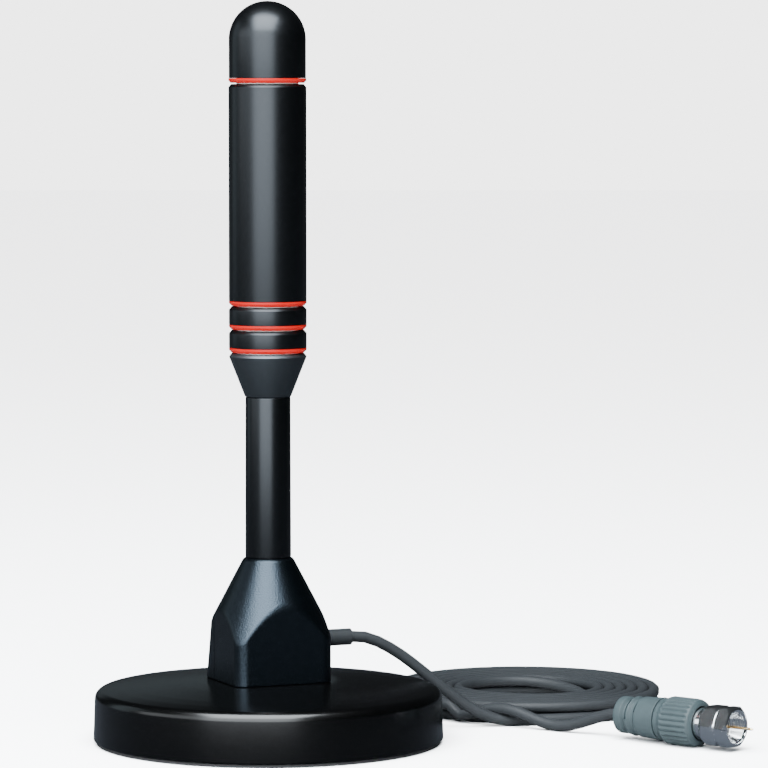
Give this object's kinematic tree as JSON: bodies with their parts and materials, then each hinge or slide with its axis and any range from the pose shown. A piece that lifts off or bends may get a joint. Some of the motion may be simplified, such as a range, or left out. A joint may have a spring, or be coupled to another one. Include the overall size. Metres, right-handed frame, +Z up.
{
  "type": "indoor television antenna",
  "caption": "Indoor TV antenna: fat black mast with domed cap and orange trim rings on a thin tube, square pedestal and round magnetic base, with a coiled grey coaxial lead and F plug.",
  "frame": {"origin": "middle of the base pad's underside, on the mast's axis", "axes": "+Z up along the mast, -Y towards the viewer, +X to the side where the lead leaves"},
  "size_m": [0.1866, 0.1618, 0.211],
  "materials": {
    "black_gloss": "satin black moulding with soft highlights",
    "black_painted": "satin black paint on an aluminium tube",
    "black_grained": "fine grained black moulding",
    "black_rubber": "matt foam rubber",
    "orange_ring": "satin orange red",
    "grey_jacket": "grey PVC jacket",
    "grey_plug": "blue-grey moulded PVC",
    "chrome": "bright nickel plate",
    "gilt": "gold-coloured plated pin",
    "steel": "zinc plated steel",
    "brass": "plain brass",
    "ferrite": "dark sintered ferrite",
    "board_green": "green solder mask",
    "white_plastic": "natural white moulding"
  },
  "bodies": {
    "antenna": {"base_cover": "black_gloss", "base_pad": "black_rubber", "ring_magnet": "ferrite", "magnet_plate": "steel", "pedestal_body": "black_grained", "pedestal_rear_cover": "black_grained", "pedestal_screw_1": "steel", "pedestal_screw_2": "steel", "pedestal_screw_3": "steel", "pedestal_screw_4": "steel", "cable_sleeve": "grey_jacket", "mast_stud": "brass", "lock_washer": "steel", "lock_nut": "steel", "tube_insert": "brass", "lower_tube": "black_painted", "transition_cone": "black_gloss", "core_tube": "white_plastic", "spacer_band_lower": "black_gloss", "spacer_band_upper": "black_gloss", "upper_tube": "black_gloss", "trim_ring_1": "orange_ring", "trim_ring_2": "orange_ring", "trim_ring_3": "orange_ring", "trim_ring_4": "orange_ring", "end_cap": "black_gloss", "feed_cable": "grey_jacket", "matching_board": "board_green", "balun_core": "ferrite", "coupling_capacitor": "white_plastic", "radiator_tube": "brass", "element_disc_lower": "white_plastic", "element_disc_upper": "white_plastic", "cord_lead": "grey_jacket", "cord_coil": "grey_jacket", "cord_tail": "grey_jacket", "plug_boot": "grey_plug", "plug_ferrule": "chrome", "plug_insulator": "white_plastic", "centre_pin": "gilt"},
    "coupling": {"coupling_nut": "chrome", "nut_grip": "grey_plug"}
  },
  "joints": [
    {"name": "coupling_nut_spin", "type": "hinge", "parent": "antenna", "child": "coupling", "pos_m": [0.12, -0.00994, 0.00695], "axis": [0.766, -0.6428, 0], "continuous": true}
  ]
}
